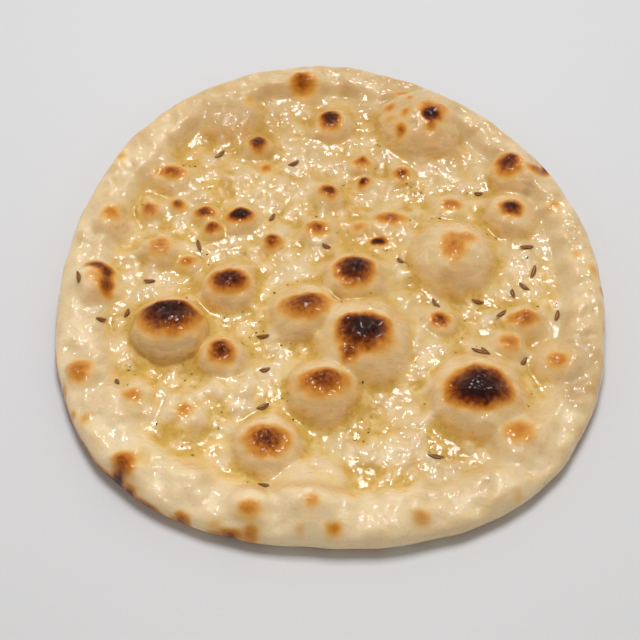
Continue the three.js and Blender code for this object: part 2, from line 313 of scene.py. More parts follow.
# the dough's small relief, and the oil that fills its hollows
skin = {
    "swells": 0.45, "swellSize": (44, 20), "rimSwells": 0.05, "wallSwells": 0.4,
    "lumps": 0.36, "lumpSize": (17, 8), "wallLumps": 0.5,
    "ripples": 0.1, "rippleSize": (8, 4), "wallRipples": 0.25, "rimRipples": 0.55,
    "folds": 0.5, "foldSize": (50, 16), "foldWidth": 0.09,
    "foldPatches": (-0.3, 0.8), "foldPatchSize": (80, 30),
    "grain": 0.03, "grainSize": (3.4, 1.6),
    "charBumps": 0.2, "charBumpSize": (4.2, 1.9), "charBumpBurn": (0.4, 0.95),
    "pimples": 1100, "pimpleWidth": (2.6, 6), "pimpleRise": (0.045, 0.085),
    "pimpleLow": (-105, -110), "pimpleHigh": (105, 105),
    "wallSlope": (0.35, 1.2), "wallPuff": (0.8, 3), "wallSoft": 0.8,
}
oil = {
    "spread": 6, "fineSpread": 2.5, "fill": 0.45, "base": 0.36, "broad": 0.4, "narrow": 0.95,
    "domeShare": 0.45, "patchLeast": 0.3, "patchSize": (60, 22), "poolFrom": 0.1,
    "thinnest": 0.04, "deepest": 1.1, "soft": 0.7, "rimFade": (13, 32),
    "domeDry": 0.7, "domeHeights": (1.5, 6),
    "foot": 0.14, "footLeast": 0.4, "footWidth": 2.6, "footReach": 1.04, "footHeights": (4, 8),
    "stillDepth": 0.6, "stillCalm": 0.6, "footCalm": 0.7, "poolCalm": 0.5, "rimCalm": 0.15,
    "evens": 0.5,
    "stir": 0.35, "stirSize": (14, 5), "poolEdge": (0.3, 1.25),
    "pools": [
        (18, 14, 14, 9, 0.55), (39, -6, 15, 7.5, 0.4), (10.5, -69, 8, 9, 0.9), (-55, -76, 13, 6.5, 0.9),
        (-36, 14, 9, 7, 0.4), (-46, 70, 14, 5, 0.35), (25, 14, 9, 5, 0.5),
        (-53, -36, 23, 8, 0.25), (-48, 44, 9, 11, 0.6), (36, 71, 17, 6, 0.3), (36, 47, 8, 4.5, 0.6),
        (-20, -58, 10, 10, 0.35), (44, -75, 8, 9, 0.5), (-36, 77, 15, 7, 0.35), (-25, -20.5, 12, 5, 0.3),
        (77, 51, 8, 7, 0.35), (60, -13, 17, 6, 0.15), (-58, 55, 14, 8, 0.35), (-12, -68, 9, 7, 0.4),
        (20, -90, 22, 6, 0.3), (-70, -86, 9, 5, 0.3), (20, -71, 10, 5, 0.6), (-54, -80, 10, 5, 0.7),
    ],
    # curved edges of the film that catch the light: start, bend and end
    "edges": [
        (1.7, -9.5, 9.2, -14.5, 16, -13.7), (-0.5, -71.1, 3.4, -70.9, 7.2, -69.5),
        (-71.1, -43.2, -65, -46.4, -58.5, -43.1), (-84.2, -75.3, -80.4, -83.5, -67.8, -81.8),
        (-97.3, -36.4, -95.8, -33.5, -94.3, -30.7), (-93.9, -39.9, -90.7, -42.2, -87, -43.1),
        (86.7, 28.6, 87.8, 23, 82.4, 18.3), (70.4, 51.8, 70.8, 48, 74.1, 46.4),
        (-81.6, 6.3, -84.2, 9.1, -81.4, 12), (-84.4, 51.3, -83.6, 57.8, -76.5, 58.3),
        (62, 2.5, 67, 4, 69, 8.5), (30, -13, 34, -9, 41, -10), (-4, 17, 2, 12.5, 7, 14),
        (95.5, 12, 96.5, 0, 95.5, -9),
    ],
    "edgeRise": 0.2, "edgeWidth": 1.1, "edgeSteps": 25, "edgeTaper": 0.5,
}


def pimpleMap():
    random = np.random.default_rng(41)
    height = np.zeros(gridX.shape)
    for _ in range(skin["pimples"]):
        x, y = random.uniform(skin["pimpleLow"], skin["pimpleHigh"])
        radius = random.uniform(*skin["pimpleWidth"]) / 2
        rise = radius * 2 * random.uniform(*skin["pimpleRise"])
        column, row = int((x - mapX[0]) / mapStep), int((y - mapY[0]) / mapStep)
        span = int(radius / mapStep) + 2
        near = (slice(row - span, row + span + 1), slice(column - span, column + span + 1))
        reach = np.hypot(gridX[near] - x, gridY[near] - y) / radius
        height[near] = np.maximum(height[near], rise * np.clip(1 - reach * reach, 0, None) ** 1.5)
    return height


def steepness(height):
    slopeY, slopeX = np.gradient(height, mapStep)
    return np.hypot(slopeX, slopeY)


# 1 on the blisters' walls, which also get painted shade
mapSteep = smoothStep(steepness(blur(mapSkin + mapPuff, skin["wallSoft"])), *skin["wallSlope"])
mapSteep = mapSteep * smoothStep(mapPuff, *skin["wallPuff"])


def poolMap():
    pools = np.zeros(gridX.shape)
    stir = 1 + oil["stir"] * roughMap(29, oil["stirSize"])
    for x, y, wide, deep, strength in oil["pools"]:
        away = np.hypot((gridX - x) / wide, (gridY - y) / deep)
        pools = np.maximum(pools, strength * (1 - smoothStep(away, *oil["poolEdge"])))
    return pools * np.clip(stir, 0, None)


def filmEdgeMap():
    # 1 along each curved edge, fading to both sides
    nearest = np.full(gridX.shape, 99.0)
    for x0, y0, x1, y1, x2, y2 in oil["edges"]:
        for share in np.linspace(0, 1, oil["edgeSteps"]):
            x = (1 - share) ** 2 * x0 + 2 * share * (1 - share) * x1 + share ** 2 * x2
            y = (1 - share) ** 2 * y0 + 2 * share * (1 - share) * y1 + share ** 2 * y2
            taper = 1 + oil["edgeTaper"] * abs(2 * share - 1) ** 3
            nearest = np.minimum(nearest, np.hypot(gridX - x, gridY - y) * taper)
    return np.exp(-((nearest / oil["edgeWidth"]) ** 2))


def onWalls(share):
    # 1 on flat ground and this share on the blisters' walls
    return 1 - (1 - share) * mapSteep


def doughMaps():
    swells = skin["swells"] * roughMap(21, skin["swellSize"]) * onWalls(skin["wallSwells"])
    swells = swells * (1 + skin["rimSwells"] * (1 - wellShare))
    lumps = skin["lumps"] * roughMap(22, skin["lumpSize"]) * onWalls(skin["wallLumps"])
    ripples = skin["ripples"] * roughMap(23, skin["rippleSize"]) + pimpleMap()
    ripples = ripples * (skin["rimRipples"] + (1 - skin["rimRipples"]) * wellShare)
    ripples = ripples * onWalls(skin["wallRipples"])
    grain = skin["grain"] * roughMap(24, skin["grainSize"])
    charBumps = skin["charBumps"] * roughMap(25, skin["charBumpSize"])
    charBumps = charBumps * smoothStep(mapBurn, *skin["charBumpBurn"])
    folds = -skin["folds"] * np.exp(-(roughMap(27, skin["foldSize"]) / skin["foldWidth"]) ** 2)
    folded = smoothStep(roughMap(28, skin["foldPatchSize"]), *skin["foldPatches"])
    folds = folds * folded * (1 - mapSteep) * wellShare
    fine = ripples + grain
    return mapPuff + (swells + lumps + fine + charBumps + folds) * edgeFade, fine * edgeFade


def oilMaps(dough, fine):
    # oil gathers where the ground lies under its own average
    lowDomes = mapSkin + dough - (1 - oil["domeShare"]) * mapPuff
    hollow = blur(lowDomes, oil["spread"]) - lowDomes
    crease = blur(lowDomes, oil["fineSpread"]) - lowDomes
    patches = np.clip(0.5 + 0.5 * roughMap(26, oil["patchSize"]), 0, 1)
    patches = oil["patchLeast"] + (1 - oil["patchLeast"]) * patches
    pool = np.clip(hollow - oil["poolFrom"], 0, None) * wellShare
    foot, pools, edges = footOilShadeMap() * wellShare, poolMap(), filmEdgeMap()
    depth = (oil["base"] + oil["broad"] * hollow + oil["narrow"] * crease) * patches
    depth = smoothStep(mapInset, *oil["rimFade"]) * depth + pools
    # the foot ring's tint is partly oil and partly painted contact shade
    depth = depth + oil["foot"] * foot * (oil["footLeast"] + (1 - oil["footLeast"]) * patches)
    depth = np.clip(depth, oil["thinnest"], oil["deepest"])
    depth = blur(depth * (1 - oil["domeDry"] * smoothStep(mapPuff, *oil["domeHeights"])), oil["soft"])
    # calm oil is smooth and mirrors, the rest follows the dough
    still = 1 - np.exp(-pool / oil["stillDepth"])
    calm = oil["stillCalm"] * still + oil["footCalm"] * foot + oil["poolCalm"] * pools
    calm = calm + oil["rimCalm"] * (1 - wellShare)
    calm = np.clip(np.maximum(calm, np.sqrt(edges)), 0, 1)
    film = oil["fill"] * pool + oil["edgeRise"] * edges - oil["evens"] * still * fine
    return dough + film, depth, pool, calm


mapRelief, mapDepth, mapPool, mapCalm = oilMaps(*doughMaps())
print("oil: deepest pool", round(float(mapPool.max()), 2), "mm")
print("oil: mean tint", round(float(mapDepth[wellShare > 0.5].mean()), 2))


def topHeight(x, y):
    angle = np.arctan2(y, x)
    inset = edgeRadius(angle) - np.hypot(x, y)
    return skinHeight(x, y, angle, inset) + sample(mapRelief, x, y)


# rings of the bread's mesh, counted out from the middle of the top to the middle underneath
layout = {
    "halvings": 7, "well": 118, "crest": 133, "edge": 151, "foot": 163, "spreadFrom": 0.8, "blend": 26,
}


def spreadOverBlisters(x, y):
    # moves points outwards so that a steep wall gets as many of them as the flat around it
    for blister in blisters:
        foot, height = blister["width"] / 2, blister["height"]
        if height < layout["spreadFrom"] * foot:
            continue
        offX, offY = x - blister["x"], y - blister["y"]
        reach = np.hypot(offX, offY)
        turn = 2 * math.atan(height / foot)
        inside = (reach < foot) & (reach > 1e-6)
        grow = np.where(inside, foot * np.sin(turn * np.minimum(reach / foot, 1)) / math.sin(turn)
                        / np.maximum(reach, 1e-6), 1)
        x, y = blister["x"] + offX * grow, blister["y"] + offY * grow
    return x, y


def breadPlaces(ring, angle):
    radius = edgeRadius(angle)
    band = rimBand(angle)
    crestInset = band / 2
    middle = 2 ** (layout["halvings"] + 1)
    overCrest = np.clip((ring - layout["crest"]) / (layout["edge"] - layout["crest"]), 0, 1)
    under = np.clip((ring - layout["edge"]) / (layout["foot"] - layout["edge"]), 0, 1)
    home = np.clip((ring - layout["foot"]) / (middle - layout["foot"]), 0, 1)
    inset = np.select(
        [ring <= layout["well"], ring <= layout["crest"], ring <= layout["edge"], ring <= layout["foot"]],
        [radius - (radius - band) * ring / layout["well"],
         band + (crestInset - band) * (ring - layout["well"]) / (layout["crest"] - layout["well"]),
         crestInset * (1 - np.sin(overCrest * math.pi / 2)),
         loaf["footInset"] * (1 - np.cos(under * math.pi / 2))],
        radius - (radius - loaf["footInset"]) * (1 - home))
    x, y = (radius - inset) * np.cos(angle), (radius - inset) * np.sin(angle)
    movedX, movedY = spreadOverBlisters(x, y)
    inner = 1 - smoothStep(ring, layout["crest"] - layout["blend"], layout["crest"])
    x, y = x + inner * (movedX - x), y + inner * (movedY - y)
    z = np.where(ring <= layout["edge"], topHeight(x, y),
                 loaf["widest"] * (1 - np.sin(under * math.pi / 2)))
    return x, y, z


def breadMesh():
    # two six-sided pyramids base to base, halved and bent ring by ring
    bm = bmesh.new()
    bmesh.ops.create_cone(bm, segments=6, radius1=1, radius2=0, depth=1, cap_ends=False)
    bmesh.ops.translate(bm, verts=bm.verts, vec=(0, 0, 0.5))
    bmesh.ops.mirror(bm, geom=bm.verts[:] + bm.edges[:] + bm.faces[:], axis="Z", merge_dist=1e-4)
    bmesh.ops.remove_doubles(bm, verts=bm.verts, dist=1e-4)
    for _ in range(layout["halvings"]):
        bmesh.ops.subdivide_edges(bm, edges=bm.edges, cuts=1, use_grid_fill=True)
    bmesh.ops.triangulate(bm, faces=[f for f in bm.faces if len(f.verts) > 3])
    rings = 2 ** layout["halvings"]
    start = np.array([v.co for v in bm.verts])
    sixth = math.radians(60)
    corner = max((vert.co for vert in bm.verts), key=lambda spot: math.hypot(spot.x, spot.y))
    phase = math.atan2(corner.y, corner.x)
    turn = (np.arctan2(start[:, 1], start[:, 0]) - phase) % (2 * math.pi)
    side = np.floor(turn / sixth + 1e-6)
    into = turn - side * sixth
    gauge = np.hypot(start[:, 0], start[:, 1]) * np.cos(into - sixth / 2) / math.cos(sixth / 2)
    along = (1 + np.tan(into - sixth / 2) / math.tan(sixth / 2)) / 2
    ring = np.round(gauge * rings)
    ring = np.where(start[:, 2] < -1e-6, 2 * rings - ring, ring)
    x, y, z = breadPlaces(ring, sixth * (side + along))
    for vert, place in zip(bm.verts, np.column_stack([x, y, z])):
        vert.co = place
    bmesh.ops.recalc_face_normals(bm, faces=bm.faces)
    return bm


def addValues(mesh, name, values):
    attribute = mesh.attributes.new(name, "FLOAT", "POINT")
    attribute.data.foreach_set("value", values.astype(np.float32))


def newPiece(name, bm, material):
    mesh = bpy.data.meshes.new(name)
    for face in bm.faces:
        face.smooth = True
    bm.to_mesh(mesh)
    bm.free()
    mesh.materials.append(material)
    piece = bpy.data.objects.new(name, mesh)
    bpy.context.collection.objects.link(piece)
    return piece


def startMaterial(name):
    material = bpy.data.materials.new(name)
    material.use_nodes = True
    tree = material.node_tree
    return material, tree, tree.nodes["Principled BSDF"]


def addNoise(tree, place, scale, detail=4, roughness=0.55):
    noise = tree.nodes.new("ShaderNodeTexNoise")
    noise.inputs["Scale"].default_value = scale
    noise.inputs["Detail"].default_value = detail
    noise.inputs["Roughness"].default_value = roughness
    tree.links.new(place, noise.inputs["Vector"])
    return noise.outputs["Fac"]


def addCells(tree, place, scale):
    cells = tree.nodes.new("ShaderNodeTexVoronoi")
    cells.inputs["Scale"].default_value = scale
    tree.links.new(place, cells.inputs["Vector"])
    return cells.outputs["Distance"]


def addMath(tree, operation, first, second=None, third=None, clamp=False):
    node = tree.nodes.new("ShaderNodeMath")
    node.operation = operation
    node.use_clamp = clamp
    for socket, value in zip(node.inputs, (first, second, third)):
        if value is None:
            continue
        if isinstance(value, (int, float)):
            socket.default_value = value
        else:
            tree.links.new(value, socket)
    return node.outputs[0]


def addMix(tree, share, first, second, blend="MIX"):
    node = tree.nodes.new("ShaderNodeMix")
    node.data_type = "RGBA"
    node.blend_type = blend
    for socket, value in ((node.inputs[0], share), (node.inputs[6], first), (node.inputs[7], second)):
        if isinstance(value, (int, float)):
            socket.default_value = value
        elif isinstance(value, tuple):
            socket.default_value = (*value, 1)
        else:
            tree.links.new(value, socket)
    return node.outputs[2]


def addRange(tree, value, low, high, toLow=0.0, toHigh=1.0, smooth=True):
    node = tree.nodes.new("ShaderNodeMapRange")
    node.interpolation_type = "SMOOTHSTEP" if smooth else "LINEAR"
    tree.links.new(value, node.inputs["Value"])
    for name, number in (("From Min", low), ("From Max", high), ("To Min", toLow), ("To Max", toHigh)):
        node.inputs[name].default_value = number
    return node.outputs["Result"]


def addRamp(tree, share, stops):
    ramp = tree.nodes.new("ShaderNodeValToRGB")
    elements = ramp.color_ramp.elements
    while len(elements) < len(stops):
        elements.new(0.5)
    for element, (position, colour) in zip(elements, stops):
        element.position = position
        element.color = (*colour, 1)
    tree.links.new(share, ramp.inputs["Fac"])
    return ramp.outputs["Color"]


def addAttribute(tree, name):
    node = tree.nodes.new("ShaderNodeAttribute")
    node.attribute_name = name
    return node.outputs["Fac"]


def addBump(tree, height, distance, strength=1.0):
    node = tree.nodes.new("ShaderNodeBump")
    node.inputs["Strength"].default_value = strength
    node.inputs["Distance"].default_value = distance
    tree.links.new(height, node.inputs["Height"])
    return node.outputs["Normal"]


crust = {
    "pale": (0.825, 0.655, 0.405), "cream": (0.70, 0.52, 0.275), "wallShade": (0.70, 0.46, 0.21),
    "shaded": (0.69, 0.43, 0.17), "freckle": (0.72, 0.45, 0.19), "goldenTanAndShade": (0.57, 0.38, 0.165),
    "oilSteps": [
        (0.0, (1.0, 1.0, 1.0)), (0.33, (0.98, 0.89, 0.62)), (0.66, (0.95, 0.79, 0.36)),
        (1.0, (0.84, 0.66, 0.17)),
    ],
    "burnSteps": [
        (0.0, (0.84, 0.61, 0.28)), (0.12, (0.76, 0.44, 0.10)), (0.26, (0.60, 0.24, 0.025)),
        (0.42, (0.36, 0.10, 0.006)), (0.58, (0.17, 0.034, 0.004)), (0.75, (0.07, 0.012, 0.004)),
        (0.95, (0.024, 0.006, 0.004)),
    ],
    "smudge": (0.34, 0.27, 0.06),
    # patterns, in repeats over a metre
    "broad": 45, "blotches": 130, "speckles": 420, "pores": 900, "charGrain": 520, "waves": 300,
    "cells": 310, "wrinkles": 300, "wrinkleStretch": (0.45, 1.0, 1.4),
    # a pattern's range and what it gives at both ends
    "freckles": (0.6, 0.78, 0, 0.5), "smudges": (0.6, 0.7, 0, 0.6), "smudgeDepth": (0.25, 0.8),
    "poreTones": (0.56, 0.72, 1.0, 0.84), "ridgeTones": (0.36, 0.64, 0.86, 1.05),
    "charMottle": (0.1, 0.5, 0.2, 0.9), "toasted": (0.0, 0.26), "browned": (0.03, 0.2),
    "sooty": (0.25, 0.6), "charDry": (0.18, 0.6, 0, 0.8), "beadGaps": (0.2, 0.5),
    "roughness": (0.3, 0.7, 0.28, 0.42),
    "broadTones": 1.2, "oilGrain": 2.0, "specular": 0.4,
    "softness": 0.6, "softDepth": 0.003, "softColours": (1.0, 0.4, 0.15),
    "bump": 0.0003, "bumpStrength": 0.8, "poreBump": 0.6, "speckleBump": 1.2, "wrinkleBump": (0.8, 1.6),
    "film": 0.05, "filmIor": 1.4, "filmBump": 0.001, "filmCells": 0.8, "filmWaves": 0.5,
    "calmFilm": 0.85, "charFilm": 0.25,
    # what clean, browned and sooty crust reflects
    "cleanShine": (1.0, 1.0, 1.0), "brownShine": (0.62, 0.34, 0.15), "soot": (0.12, 0.05, 0.03),
}


def crustMaterial():
    material, tree, shader = startMaterial("bakedCrust")
    place = tree.nodes.new("ShaderNodeTexCoord").outputs["Object"]
    burn, depth = addAttribute(tree, "burn"), addAttribute(tree, "depth")
    steep, wet = addAttribute(tree, "steep"), addAttribute(tree, "wet")
    calm, tan = addAttribute(tree, "calm"), addAttribute(tree, "tan")
    broad = addNoise(tree, place, crust["broad"], 3)
    blotch = addNoise(tree, place, crust["blotches"], 4, 0.6)
    speckle = addNoise(tree, place, crust["speckles"], 5, 0.6)
    fine = addNoise(tree, place, crust["pores"], 4, 0.6)
    char = addNoise(tree, place, crust["charGrain"], 2, 0.5)
    film = addNoise(tree, place, crust["waves"], 2, 0.45)
    cells = addCells(tree, place, crust["cells"])
    stretch = tree.nodes.new("ShaderNodeMapping")
    stretch.inputs["Scale"].default_value = crust["wrinkleStretch"]
    tree.links.new(place, stretch.inputs["Vector"])
    wrinkle = addNoise(tree, stretch.outputs["Vector"], crust["wrinkles"], 3, 0.55)
    # slopes that face the back are seen too flat for fine texture
    plain = addMath(tree, "SUBTRACT", 1.0, addAttribute(tree, "rear"))

    # the baked dough
    swell = addMath(tree, "SUBTRACT", broad, 0.5)
    # the tan carries painted shade and painted light as well as the crust's own tone
    toned = addMath(tree, "MULTIPLY_ADD", swell, crust["broadTones"], tan, clamp=True)
    colour = addMix(tree, toned, crust["pale"], crust["cream"])
    # past 1 the tan turns golden, partly painted shade
    colour = addMix(tree, addRange(tree, tan, 1.0, 2.0, smooth=False), colour, crust["goldenTanAndShade"])
    freckled = addRange(tree, blotch, *crust["freckles"])
    colour = addMix(tree, freckled, colour, crust["freckle"])
    # painted shade on slopes turned away from the softbox
    colour = addMix(tree, addAttribute(tree, "paintedShade"), colour, crust["shaded"])
    # painted shade, darker and tanner, on the blisters' walls
    colour = addMix(tree, steep, colour, crust["wallShade"])

    # oil over it
    grainy = addMath(tree, "SUBTRACT", addMath(tree, "ADD", blotch, speckle), 1.0)
    stirred = addMath(tree, "MULTIPLY", depth,
                      addMath(tree, "MULTIPLY_ADD", grainy, crust["oilGrain"], 1.0))
    colour = addMix(tree, 1.0, colour, addRamp(tree, stirred, crust["oilSteps"]), "MULTIPLY")
    smudged = addMath(tree, "MULTIPLY", addRange(tree, speckle, *crust["smudges"]),
                      addRange(tree, depth, *crust["smudgeDepth"]))
    colour = addMix(tree, smudged, colour, crust["smudge"])
    pores = addRange(tree, fine, *crust["poreTones"])
    colour = addMix(tree, plain, colour, addMix(tree, 1.0, colour, pores, "MULTIPLY"))
    ridges = addRange(tree, wrinkle, *crust["ridgeTones"])
    ridged = addMix(tree, 1.0, colour, ridges, "MULTIPLY")
    colour = addMix(tree, addMath(tree, "MULTIPLY", plain, steep), colour, ridged)

    # the chars
    spotty = addMath(tree, "MULTIPLY", addMath(tree, "SUBTRACT", char, 0.5),
                     addRange(tree, burn, *crust["charMottle"]))
    mottle = addMath(tree, "ADD", spotty, 1.0)
    burned = addMath(tree, "MULTIPLY", burn, mottle, clamp=True)
    toasted = addRamp(tree, burned, crust["burnSteps"])
    colour = addMix(tree, addRange(tree, burned, *crust["toasted"]), colour, toasted)
    tree.links.new(colour, shader.inputs["Base Color"])

    roughness = addRange(tree, speckle, *crust["roughness"])
    tree.links.new(roughness, shader.inputs["Roughness"])
    shader.inputs["Specular IOR Level"].default_value = crust["specular"]
    browned = addRange(tree, burned, *crust["browned"])
    shine = addMix(tree, browned, crust["cleanShine"], crust["brownShine"])
    shine = addMix(tree, addRange(tree, burned, *crust["sooty"]), shine, crust["soot"])
    tree.links.new(shine, shader.inputs["Specular Tint"])
    shader.inputs["Subsurface Weight"].default_value = crust["softness"]
    shader.inputs["Subsurface Radius"].default_value = crust["softColours"]
    shader.inputs["Subsurface Scale"].default_value = crust["softDepth"]
    shader.inputs["Coat Roughness"].default_value = crust["film"]
    shader.inputs["Coat IOR"].default_value = crust["filmIor"]
    # oil stands on the dry char in beads
    bare = addMath(tree, "MULTIPLY", addRange(tree, burned, *crust["charDry"]),
                   addRange(tree, cells, *crust["beadGaps"]))
    oiled = addMath(tree, "MULTIPLY", wet, addMath(tree, "SUBTRACT", 1.0, bare), clamp=True)
    tree.links.new(oiled, shader.inputs["Coat Weight"])

    # the dough's bump, then the film's
    flat, wall = crust["wrinkleBump"]
    creased = addMath(tree, "MULTIPLY", addMath(tree, "SUBTRACT", wrinkle, 0.5),
                      addMath(tree, "MULTIPLY_ADD", steep, wall, flat))
    uneven = addMath(tree, "MULTIPLY_ADD", fine, crust["poreBump"], creased)
    uneven = addMath(tree, "MULTIPLY_ADD", speckle, crust["speckleBump"], uneven)
    uneven = addMath(tree, "MULTIPLY", uneven, plain)
    normal = addBump(tree, uneven, crust["bump"], crust["bumpStrength"])
    tree.links.new(normal, shader.inputs["Normal"])
    gain = addMath(tree, "MULTIPLY", addMath(tree, "MULTIPLY_ADD", calm, -crust["calmFilm"], 1.0),
                   addMath(tree, "MULTIPLY_ADD", burn, crust["charFilm"], 1.0))
    domed = addMath(tree, "MULTIPLY", addMath(tree, "MULTIPLY", cells, cells), -crust["filmCells"])
    rough = addMath(tree, "MULTIPLY_ADD", film, crust["filmWaves"], domed)
    rough = addMath(tree, "MULTIPLY", rough, gain)
    tree.links.new(addBump(tree, rough, crust["filmBump"]), shader.inputs["Coat Normal"])
    return material


# where the crust is wet, turned to the front and painted with shade there, tan with painted shade and
# light in places, or toasted; sides are in degrees round the bread
bake = {
    "rimWet": (0.5, 0.85), "rimWetFrom": (-95, -50), "wallDry": 0.5,
    "drySide": 134, "dryFrom": (0.75, 0.93), "dryShare": 0.65,
    "shadedRim": 0.15, "shadedRimFrom": (-115, -85), "shadedBack": 0.35, "shadedBackFrom": (-50, 10),
    "shadedDomes": 0.8, "shadedDomesFrom": (0.8, 3.5), "shadedMost": 0.95,
    "slopeSoft": 1.2, "frontSlope": (0.1, 0.9), "rearSlope": (0.2, 0.7),
    "tan": 0.65, "tanWell": 0.2, "tanDeep": 0.005, "tanWide": 0.0025,
    "tanPatches": (0.26, 0.12), "tanSize": (30, 10),
    "under": 0.2, "underPatches": 0.16, "underSize": (30, 8), "underMost": 0.6,
    "edge": 0.14, "edgePatches": 0.3, "edgeSize": (45, 12), "edgeTop": (0.5, 5.5),
    "toast": 0.42, "toastPatches": 0.12, "toastSide": 212, "toastFrom": (0.6, 0.97),
    "toastTop": (5, 10), "toastInset": (0, 4.5),
    "spotEnd": (3.5, 7.5), "spotSwing": 2, "spotSide": (0.5, 0.8), "spotInset": (1, 4),
    "topFrom": (1.0, 4.0),
    # darker and lighter areas of the crust: place, size and amount; besides tone they hold painted shade
    # under the upper left bulges, on the right rim and on a blister's wall, and painted light on the front
    # rim and beside blisters where highlights fall
    "tones": [
        (103, -48, 24, 0.9), (-38, 87, 20, 0.6), (60, -78, 16, 0.3), (-87, -59, 14, 0.4),
        (-40, -2, 14, 0.2), (75, 20, 26, -0.4), (95, -10, 20, -0.3), (76, -54, 12, -0.6),
        (41, -54, 9, -0.5), (41, 79, 14, 0.5), (0, -108, 60, -0.2), (-48, 85, 11, 0.75),
        (-79, -22, 10, 0.5), (100, 20, 20, 0.5), (30, 106, 20, 0.6), (45, -92, 16, 0.6),
        (15, -74, 16, 0.4), (-43, 20, 9, 0.4), (103, -52, 9, 0.5),
    ],
}


def wetMap():
    front, back = bake["rimWet"]
    rimWet = front + (back - front) * smoothStep(gridY, *bake["rimWetFrom"])
    drySide = np.cos(mapAngle - math.radians(bake["drySide"]))
    rimWet = rimWet * (1 - bake["dryShare"] * smoothStep(drySide, *bake["dryFrom"]))
    return (rimWet + (1 - rimWet) * wellShare) * (1 - bake["wallDry"] * mapSteep)


def paintedShadeMap(frontRise):
    # painted shade on slopes that climb towards the back, turned away from the softbox
    paintedShade = bake["shadedRim"] * smoothStep(gridY, *bake["shadedRimFrom"])
    paintedShade = paintedShade + bake["shadedBack"] * smoothStep(gridY, *bake["shadedBackFrom"])
    paintedShade = paintedShade + bake["shadedDomes"] * smoothStep(mapPuff, *bake["shadedDomesFrom"]) * wellShare
    return np.clip(paintedShade, 0, bake["shadedMost"]) * smoothStep(frontRise, *bake["frontSlope"])


def tanAndShadeMap():
    patchRim, patchWell = bake["tanPatches"]
    tan = bake["tan"] + bake["tanWell"] * wellShare + bake["tanDeep"] * gridY + bake["tanWide"] * gridX
    tan = tan + (patchRim + (patchWell - patchRim) * wellShare) * roughMap(53, bake["tanSize"])
    # the tones add painted shade and painted light besides tone
    for x, y, size, amount in bake["tones"]:
        tan = tan + amount * np.exp(-((gridX - x) ** 2 + (gridY - y) ** 2) / size ** 2)
    return np.clip(tan, 0, 2)


def underMap():
    under = bake["under"] + bake["underPatches"] * roughMap(51, bake["underSize"])
    return np.clip(under, 0, bake["underMost"])


def burnValues(x, y, z, topSide):
    patches = sample(roughMap(52, bake["edgeSize"]), x, y)
    inset = sample(mapInset, x, y)
    edge = np.clip(bake["edge"] + bake["edgePatches"] * patches, 0, 1)
    edge = edge * (1 - smoothStep(z, *bake["edgeTop"]))
    # the front left edge took the most heat
    hotSide = np.cos(np.arctan2(y, x) - math.radians(bake["toastSide"]))
    toast = np.clip(bake["toast"] + bake["toastPatches"] * patches, 0, 1)
    toast = toast * smoothStep(hotSide, *bake["toastFrom"]) * (1 - smoothStep(z, *bake["toastTop"]))
    toast = toast * (1 - smoothStep(inset, *bake["toastInset"]))
    edge = np.maximum(edge, toast)
    # elsewhere the spots on the edge end at mid height
    away = (1 - smoothStep(hotSide, *bake["spotSide"])) * (1 - smoothStep(inset, *bake["spotInset"]))
    away = away * (1 - smoothStep(z + bake["spotSwing"] * patches, *bake["spotEnd"]))
    top = sample(mapBurn, x, y) * (1 - away)
    under = sample(underMap(), x, y)
    return np.maximum(top, edge) * topSide + np.maximum(under, edge) * (1 - topSide)


bread = newPiece("bread", breadMesh(), crustMaterial())
points = np.array([v.co for v in bread.data.vertices])
pointX, pointY, pointZ = points.T
middle = (points.min(axis=0) + points.max(axis=0)) / 2
# the pieces are moved sideways onto the solid's middle
cadMiddle = np.array((cadLow + cadHigh) / 2) / mm
shift = (cadMiddle - middle) * (1, 1, 0)
topSide = smoothStep(pointZ, *bake["topFrom"])
frontRise = np.gradient(blur(mapSkin + mapRelief, bake["slopeSoft"]), mapStep, axis=0)
addValues(bread.data, "burn", burnValues(pointX, pointY, pointZ, topSide))
addValues(bread.data, "tan", sample(tanAndShadeMap(), pointX, pointY))
topMaps = {
    "depth": mapDepth, "steep": mapSteep, "calm": mapCalm, "wet": wetMap(),
    "paintedShade": paintedShadeMap(frontRise), "rear": smoothStep(-frontRise, *bake["rearSlope"]),
}
for name, values in topMaps.items():
    addValues(bread.data, name, sample(values, pointX, pointY) * topSide)
bread.data.transform(Matrix.Scale(mm, 4) @ Matrix.Translation(shift))
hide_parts("naan")
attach(bread, "root")
print("bread:", len(bread.data.polygons), "faces, shift", shift.round(2))

